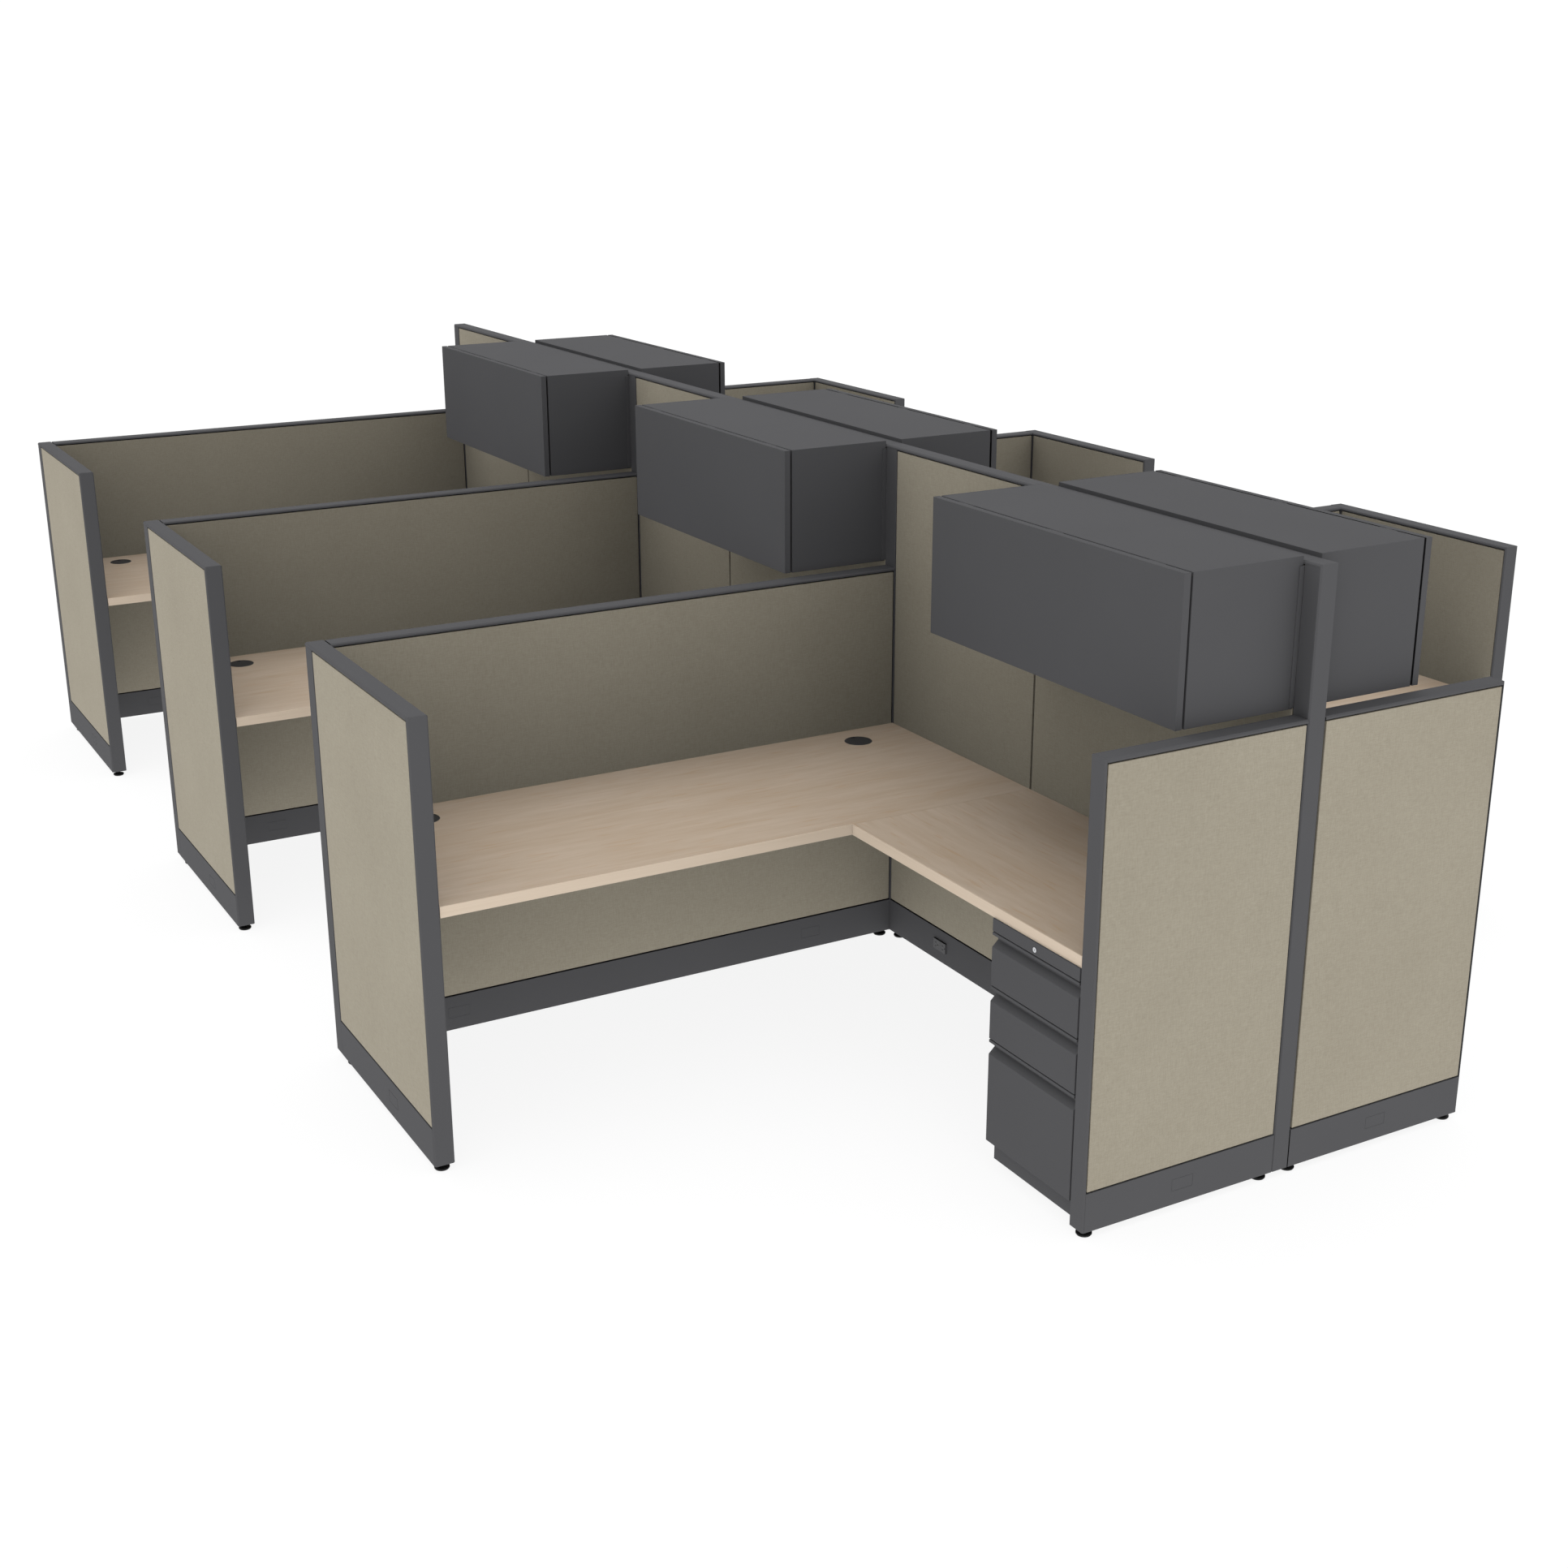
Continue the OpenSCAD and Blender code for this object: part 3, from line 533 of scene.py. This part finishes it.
# Marks the outward edges between two broad faces, which are the ones that a maker rounds. Where two
# of them run side by side on a narrow strip, only the longer one is rounded.
def markBroadEdges(shape, width):
    layer = shape.edges.layers.float.new("bevel_weight_edge")
    breadth = {}
    for face in shape.faces:
        breadth[face] = 2 * face.calc_area() / face.calc_perimeter()
    for edge in shape.edges:
        if len(edge.link_faces) != 2:
            continue
        isOutward = edge.calc_face_angle_signed(0) >= math.radians(shapeSet["roundAngle"])
        if isOutward and min(breadth[face] for face in edge.link_faces) > 2 * width:
            edge[layer] = 1
    for face in shape.faces:
        marked = sorted((edge for edge in face.edges if edge[layer]), key=lambda edge: -edge.calc_length())
        for number, edge in enumerate(marked):
            for other in marked[number + 1:]:
                if edge[layer] and other[layer] and sideBySide(edge, other, 2 * width):
                    other[layer] = 0


# Smooth shading over the whole shape, with its folds and corners kept sharp
def shadeSmooth(shape):
    shape.normal_update()
    for face in shape.faces:
        face.smooth = True
    for edge in shape.edges:
        isFold = edge.calc_face_angle(math.pi) >= math.radians(shapeSet["creaseAngle"])
        edge.smooth = not isFold


def addPiece(name, shape, body, finish, stands=()):
    shadeSmooth(shape)
    mesh = bpy.data.meshes.new(name)
    shape.to_mesh(mesh)
    shape.free()
    mesh.materials.clear()
    mesh.materials.append(finishes[finish])
    piece = bpy.data.objects.new(name, mesh)
    bpy.context.scene.collection.objects.link(piece)
    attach(piece, body)
    if stands:
        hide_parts(*stands)
    return piece


# Keeps the broad faces between rounded edges flat to the light
def evenShading(piece):
    even = piece.modifiers.new("evenShading", "WEIGHTED_NORMAL")
    even.weight = shapeSet["faceWeight"]
    even.keep_sharp = True


def roundEdges(piece, width):
    bevel = piece.modifiers.new("roundedEdges", "BEVEL")
    bevel.width = width
    bevel.segments = shapeSet["roundSegments"]
    bevel.limit_method = "WEIGHT"
    bevel.use_clamp_overlap = False
    evenShading(piece)


# Stands for a node with the same shape, its broad edges rounded
def dressNode(node, name, finish, width=0):
    shape = nodeShape(node)
    if width:
        cutAcross(shape)
        markBroadEdges(shape, width)
    piece = addPiece(name, shape, bodyOf[node], finish, [node])
    if width:
        roundEdges(piece, width)


# A node tree that grows a piece on a guide's points: its sizes and its material are inputs
def openTree(name, sizes):
    tree = bpy.data.node_groups.new(name, "GeometryNodeTree")
    tree.interface.new_socket("Guide", in_out="INPUT", socket_type="NodeSocketGeometry")
    for label in sizes:
        tree.interface.new_socket(label, in_out="INPUT", socket_type="NodeSocketFloat")
    tree.interface.new_socket("Material", in_out="INPUT", socket_type="NodeSocketMaterial")
    tree.interface.new_socket("Piece", in_out="OUTPUT", socket_type="NodeSocketGeometry")
    given = tree.nodes.new("NodeGroupInput")
    return tree, {out.name: Sock(tree, out) for out in given.outputs if out.name}


def closeTree(tree, shape, material):
    plain = makeNode(tree, "GeometryNodeRealizeInstances", None, {"Geometry": shape})
    done = makeNode(tree, "GeometryNodeSetMaterial", None, {"Geometry": plain, "Material": material})
    tree.links.new(done.out, tree.nodes.new("NodeGroupOutput").inputs[0])


def joined(tree, *shapes):
    join = tree.nodes.new("GeometryNodeJoinGeometry")
    for shape in shapes:
        tree.links.new(shape.out, join.inputs[0])
    return Sock(tree, join.outputs[0])


# Copies of a shape on the guide's points, turned as its facings say, with their Y axis along "up"
def copiesOn(tree, points, shape, up):
    facing = makeNode(tree, "GeometryNodeInputNamedAttribute", {"data_type": "FLOAT_VECTOR"},
                      {"Name": "facing"})
    turn = makeNode(tree, "FunctionNodeAxesToRotation", {"primary_axis": "Z", "secondary_axis": "Y"},
                    {"Primary Axis": facing, "Secondary Axis": up})
    return makeNode(tree, "GeometryNodeInstanceOnPoints", None,
                    {"Points": points, "Instance": shape, "Rotation": turn})


# Bakes a tree on a guide of points, edges and facings, and adds the plain mesh as a piece
def growPiece(name, tree, sizes, guide, body, finish):
    points, edges, facings = guide
    mesh = bpy.data.meshes.new(f"{name}Guide")
    mesh.from_pydata(points, edges, [])
    layer = mesh.attributes.new("facing", "FLOAT_VECTOR", "POINT")
    layer.data.foreach_set("vector", [part for facing in facings for part in facing])
    holder = bpy.data.objects.new(f"{name}Guide", mesh)
    bpy.context.scene.collection.objects.link(holder)
    growth = holder.modifiers.new("growth", "NODES")
    growth.node_group = tree
    keys = {item.name: item.identifier for item in tree.interface.items_tree if item.in_out == "INPUT"}
    for label, size in sizes.items():
        growth[keys[label]] = size
    growth[keys["Material"]] = finishes[finish]
    made = bpy.data.meshes.new_from_object(holder.evaluated_get(bpy.context.evaluated_depsgraph_get()))
    holder.modifiers.remove(growth)
    bpy.data.objects.remove(holder)
    shape = bmesh.new()
    shape.from_mesh(made)
    for face in shape.faces:
        face.material_index = 0
    addPiece(name, shape, body, finish)


# Zinc-plated pan-head screws: a dome that falls with the square of the radius, with a socket in it
screwSet = {
    "Head radius": 0.0042,
    "Head height": 0.0026,
    "Dome": 0.0008,
    "Socket depth": 0.0014,
}
screwSides = 12
screwRings = 3
socketShare = 0.2


def screwTree():
    tree, given = openTree("panHeads", screwSet)
    radius, height = given["Head radius"], given["Head height"]
    head = makeNode(tree, "GeometryNodeMeshCylinder", {"fill_type": "TRIANGLE_FAN"},
                    {"Vertices": screwSides, "Fill Segments": screwRings, "Radius": radius, "Depth": height})
    place = makeNode(tree, "GeometryNodeInputPosition")
    x, y, z = [makeNode(tree, "ShaderNodeSeparateXYZ", None, {0: place}, axis) for axis in range(3)]
    away = (x * x + y * y) / (radius * radius)
    drop = away * given["Dome"] + (socketShare - away).above(0) * given["Socket depth"]
    rise = height * 0.5 - z.above(0) * drop
    lift = makeNode(tree, "ShaderNodeCombineXYZ", None, {2: rise})
    head = makeNode(tree, "GeometryNodeSetPosition", None, {"Geometry": head, "Offset": lift})
    closeTree(tree, copiesOn(tree, given["Guide"], head, (0, 1, 0)), given["Material"])
    return tree


panHeads = screwTree()


def growScrews(name, places, facing, body):
    growPiece(name, panHeads, screwSet, (places, [], [facing] * len(places)), body, "zinc")


# Panels
panelSet = {
    "tileRound": 0.0018,
    "tileSegments": 3,
    "capRound": 0.0006,
    "trimRound": 0.0004,
    "postRound": 0.0012,
    "coverRound": 0.0007,
}


def roundedBox(shape, low, high, radius, segments):
    made = bmesh.ops.create_cube(shape, size=1)["verts"]
    for vert in made:
        vert.co = Vector(low[axis] if vert.co[axis] < 0 else high[axis] for axis in range(3))
    edges = dict.fromkeys(edge for vert in made for edge in vert.link_edges)
    bmesh.ops.bevel(shape, geom=list(edges), offset=radius, segments=segments, profile=0.5, affect="EDGES")


def makeTiles():
    shape = bmesh.new()
    for low, high in solidBoxes("fabric_tiles"):
        roundedBox(shape, low, high, panelSet["tileRound"], panelSet["tileSegments"])
    evenShading(addPiece("panelTiles", shape, "cluster", "cloth", ["fabric_tiles"]))


# Slotted strips in the reveals beside the tiles, where arms and hook plates hang
standardSet = {
    "Pitch": 0.0254,
    "Strip width": 0.0034,
    "Slot width": 0.0015,
    "Slot height": 0.0125,
    "Thickness": 0.0004,
}
stripSet = {
    "inset": 0.0019,
    "aboveCover": 0.001,
    "belowTop": 0.0085,
    "spare": 1e-6,
    "weld": 1e-5,
}


def standardTree():
    tree, given = openTree("slottedStandards", standardSet)
    outline, slot = [makeNode(tree, "GeometryNodeCurvePrimitiveQuadrilateral", None,
                              {"Width": given[width], "Height": given[height]})
                     for width, height in (("Strip width", "Pitch"), ("Slot width", "Slot height"))]
    cell = makeNode(tree, "GeometryNodeFillCurve", None, {"Curve": joined(tree, outline, slot)})
    route = makeNode(tree, "GeometryNodeMeshToCurve", None, {"Mesh": given["Guide"]})
    points = makeNode(tree, "GeometryNodeCurveToPoints", {"mode": "LENGTH"},
                      {"Curve": route, "Length": given["Pitch"]})
    cells = makeNode(tree, "GeometryNodeRealizeInstances", None,
                     {"Geometry": copiesOn(tree, points, cell, (0, 0, 1))})
    strip = makeNode(tree, "GeometryNodeMergeByDistance", None,
                     {"Geometry": cells, "Distance": stripSet["weld"]})
    face = makeNode(tree, "GeometryNodeExtrudeMesh", {"mode": "FACES"},
                    {"Mesh": strip, "Offset Scale": given["Thickness"], "Individual": False})
    back = makeNode(tree, "GeometryNodeFlipFaces", None, {"Mesh": strip})
    closed = makeNode(tree, "GeometryNodeMergeByDistance", None,
                      {"Geometry": joined(tree, face, back), "Distance": stripSet["weld"]})
    closeTree(tree, closed, given["Material"])
    return tree


# One guide edge for each strip, a whole number of pitches long and a hair more
def standardGuide():
    pitch = standardSet["Pitch"]
    bottom = max(high.z for low, high in solidBoxes("raceway_covers")) + stripSet["aboveCover"]
    points, edges, facings = [], [], []
    for low, high in solidBoxes("panel_frames"):
        along = 0 if high.x - low.x > high.y - low.y else 1
        limit = high.z - stripSet["belowTop"]
        count = int((limit - bottom) / pitch)
        start = (bottom + limit - (count - 1) * pitch) / 2
        for end in (low[along] + stripSet["inset"], high[along] - stripSet["inset"]):
            for side, direction in ((low, -1), (high, 1)):
                place = [0, 0, start]
                place[along], place[1 - along] = end, side[1 - along]
                edges.append((len(points), len(points) + 1))
                top = start + (count - 1) * pitch + stripSet["spare"]
                points += [tuple(place), (place[0], place[1], top)]
                facings += [tuple(direction * float(axis == 1 - along) for axis in range(3))] * 2
    return points, edges, facings


makeTiles()
dressNode("panel_frames", "panelFrames", "frameMetal")
growPiece("slottedStandards", standardTree(), standardSet, standardGuide(), "cluster", "frameMetal")
dressNode("top_caps", "topCaps", "trimMetal", panelSet["capRound"])
dressNode("posts", "panelPosts", "trimMetal", panelSet["postRound"])
dressNode("end_trims", "endTrims", "trimMetal", panelSet["trimRound"])
dressNode("raceway_covers", "racewayCovers", "trimMetal", panelSet["coverRound"])
dressNode("outlet_plates", "outletPlates", "outletPlastic")
dressNode("levelling_glides", "levellingGlides", "padPlastic")
print("panels dressed")

# Worksurfaces
surfaceSet = {
    "topRound": 0.0003,
    "bandRound": 0.0008,
    "bracketRound": 0.001,
    "flange": 0.003,
    "screwShares": (0.14, 0.38, 0.62, 0.86),
    "screwRow": 0.016,
}
dressNode("main_worksurfaces", "mainWorksurfaces", "laminateX", surfaceSet["topRound"])
dressNode("return_worksurfaces", "returnWorksurfaces", "laminateY", surfaceSet["topRound"])
dressNode("edge_bands", "edgeBands", "band", surfaceSet["bandRound"])
dressNode("grommets", "cableGrommets", "moulded")
dressNode("brackets", "surfaceBrackets", "trimMetal", surfaceSet["bracketRound"])


# The arms are screwed to the surfaces from below, through their flanges
def armScrews():
    places = []
    under = min(low.z for low, high in solidBoxes("main_worksurfaces"))
    depth = under - surfaceSet["flange"]
    for low, high in solidBoxes("brackets"):
        if high.z > under + surfaceSet["flange"]:
            continue
        middle = (low + high) / 2
        for share in surfaceSet["screwShares"]:
            if high.y - low.y > high.x - low.x:
                places.append((middle.x, low.y + share * (high.y - low.y), depth))
                continue
            x = low.x + share * (high.x - low.x)
            places += [(x, middle.y + row * surfaceSet["screwRow"], depth) for row in (-1, 1)]
    growScrews("armScrews", places, (0, 0, -1), "cluster")


armScrews()
print("worksurfaces dressed")

# Overhead bins
binSet = {
    "caseRound": 0.001,
    "doorRound": 0.001,
}
dressNode("bin_tops", "binTops", "binMetal", binSet["caseRound"])
dressNode("bin_shelves", "binShelves", "binMetal", binSet["caseRound"])
dressNode("bin_backs", "binBacks", "binMetal")
dressNode("bin_ends", "binEnds", "binMetal", binSet["caseRound"])
dressNode("bin_hinges", "binHinges", "binMetal")
for station in stationNames:
    dressNode(f"{station}_bin_door", f"binDoor_{station}", "binMetal", binSet["doorRound"])
print("bins dressed")

# Pedestals
pedestalSet = {
    "caseRound": 0.001,
    "frontRound": 0.001,
    "memberHeight": 0.036,
    "boxWall": 0.0012,
    "screwInset": (0.055, 0.028),
    "railSize": (0.0046, 0.011),
    "railDrop": 0.006,
    "railRound": 0.0012,
    "railSegments": 2,
}


# Screws that hold the front, seen inside the open box, and the rails that hanging files ride on
def fitOutDrawer(name, body, openBox, members, isFile):
    low, high = openBox
    sides = (min(box[1].y for box in members), max(box[0].y for box in members))
    outwards = 1 if high.x + low.x > 0 else -1
    wall = pedestalSet["boxWall"]
    faceX = (high.x if outwards > 0 else low.x) - outwards * wall
    acrossInset, upInset = pedestalSet["screwInset"]
    places = [(faceX, y, z) for y in (sides[0] + acrossInset, sides[1] - acrossInset)
              for z in (low.z + upInset, high.z - upInset)]
    growScrews(f"{name}Screws", places, (-outwards, 0, 0), body)
    if isFile:
        shape = bmesh.new()
        width, height = pedestalSet["railSize"]
        for y in (sides[0] + wall / 2, sides[1] - wall / 2):
            start = Vector((low.x + 2 * wall, y - width / 2, high.z - pedestalSet["railDrop"]))
            end = Vector((high.x - 2 * wall, y + width / 2, start.z + height))
            roundedBox(shape, start, end, pedestalSet["railRound"], pedestalSet["railSegments"])
        addPiece(f"{name}Rails", shape, body, "moulded")


# A drawer's solids part into its front, its box with the striker, and its two slide members
def dressDrawer(node, name):
    shape = nodeShape(node)
    groups = islands(shape)
    boxes = [groupBox(group) for group in groups]
    heights = [high.z - low.z for low, high in boxes]
    reach = [max(abs(low.x), abs(high.x)) for low, high in boxes]
    front = reach.index(max(reach))
    isMember = [height < pedestalSet["memberHeight"] for height in heights]
    parts = {"Front": [], "Box": [], "Members": []}
    for number, group in enumerate(groups):
        parts["Front" if number == front else "Members" if isMember[number] else "Box"] += group
    members = [box for box, isSlim in zip(boxes, isMember) if isSlim]
    tallest = max(height for number, height in enumerate(heights) if number != front)
    body = bodyOf[node]
    fitOutDrawer(name, body, boxes[heights.index(tallest)], members, "file" in node)
    shape.faces.index_update()
    for part, faces in parts.items():
        wanted = {face.index for face in faces}
        copy = shape.copy()
        gone = [face for number, face in enumerate(copy.faces) if number not in wanted]
        bmesh.ops.delete(copy, geom=gone, context="FACES")
        if part == "Members":
            addPiece(f"{name}{part}", copy, body, "zinc")
        elif part == "Box":
            addPiece(f"{name}{part}", copy, body, "caseMetal")
        else:
            cutAcross(copy)
            markBroadEdges(copy, pedestalSet["frontRound"])
            piece = addPiece(f"{name}{part}", copy, body, "caseMetal", [node])
            roundEdges(piece, pedestalSet["frontRound"])
    shape.free()


dressNode("pedestal_sides", "pedestalSides", "caseMetal")
dressNode("pedestal_backs", "pedestalBacks", "caseMetal")
dressNode("pedestal_bases", "pedestalBases", "caseMetal", pedestalSet["caseRound"])
dressNode("pedestal_tops", "pedestalTops", "caseMetal", pedestalSet["caseRound"])
dressNode("drawer_slides", "drawerSlides", "zinc")
dressNode("lock_barrels", "lockBarrels", "chrome")
for station in stationNames:
    for kind in drawerKinds:
        dressDrawer(f"{station}_{kind}_drawer", f"{kind}Drawer_{station}_")
    dressNode(f"{station}_lock_plug", f"lockPlug_{station}", "chrome")
    dressNode(f"{station}_lock_bar", f"lockBar_{station}", "zinc")
print("pedestals dressed")

# Studio: soft light from all round, as in the photo, and a floor that lights nothing
studioSet = {
    "floorSize": 120.0,
    "white": (1, 1, 1, 1),
    "shadowShare": 0.15,
    "backdrop": 1.05,
    "levelLight": 0.62,
    "overheadLight": 0.8,
    "belowLight": 1.15,
    "bounces": 0,
}


# 1 for the rays that see the backdrop: the camera's, and those that metal or glass turns
def backdropRays(tree):
    camera, glossy, through = [makeNode(tree, "ShaderNodeLightPath", output=f"Is {kind} Ray")
                               for kind in ("Camera", "Glossy", "Transmission")]
    return (camera + glossy + through).atMost(1)


def makeFloor():
    shape = bmesh.new()
    bmesh.ops.create_grid(shape, x_segments=1, y_segments=1, size=studioSet["floorSize"] / 2)
    mesh = bpy.data.meshes.new("studioFloor")
    shape.to_mesh(mesh)
    shape.free()
    floor = bpy.data.objects.new("studioFloor", mesh)
    bpy.context.scene.collection.objects.link(floor)
    material = bpy.data.materials.new("studioFloor")
    material.use_nodes = True
    tree = material.node_tree
    tree.nodes.clear()
    white = studioSet["white"]
    shaded = makeNode(tree, "ShaderNodeBsdfDiffuse", None, {"Color": white})
    plain = makeNode(tree, "ShaderNodeEmission", None, {"Color": white, "Strength": studioSet["backdrop"]})
    clear = makeNode(tree, "ShaderNodeBsdfTransparent")
    ground = makeNode(tree, "ShaderNodeMixShader", None, {0: studioSet["shadowShare"], 1: plain, 2: shaded})
    surface = makeNode(tree, "ShaderNodeMixShader", None, {0: backdropRays(tree), 1: clear, 2: ground})
    out = tree.nodes.new("ShaderNodeOutputMaterial")
    tree.links.new(surface.out, out.inputs["Surface"])
    mesh.materials.append(material)


# The light rises from the horizon to overhead, and an even light comes from below
def makeSky():
    world = bpy.data.worlds.new("studioSky")
    bpy.context.scene.world = world
    world.use_nodes = True
    tree = world.node_tree
    sky = tree.nodes["Background"]
    direction = makeNode(tree, "ShaderNodeTexCoord", output="Generated")
    rise = makeNode(tree, "ShaderNodeSeparateXYZ", None, {0: direction}, 2)
    upper = rise * rise * studioSet["overheadLight"] + studioSet["levelLight"]
    light = rise.above(0) * (upper - studioSet["belowLight"]) + studioSet["belowLight"]
    strength = backdropRays(tree) * (studioSet["backdrop"] - light) + light
    sky.inputs["Color"].default_value = studioSet["white"]
    tree.links.new(strength.out, sky.inputs["Strength"])
    bpy.context.scene.cycles.diffuse_bounces = studioSet["bounces"]


makeFloor()
makeSky()
bpy.context.scene.view_settings.view_transform = "Standard"
print("studio made")
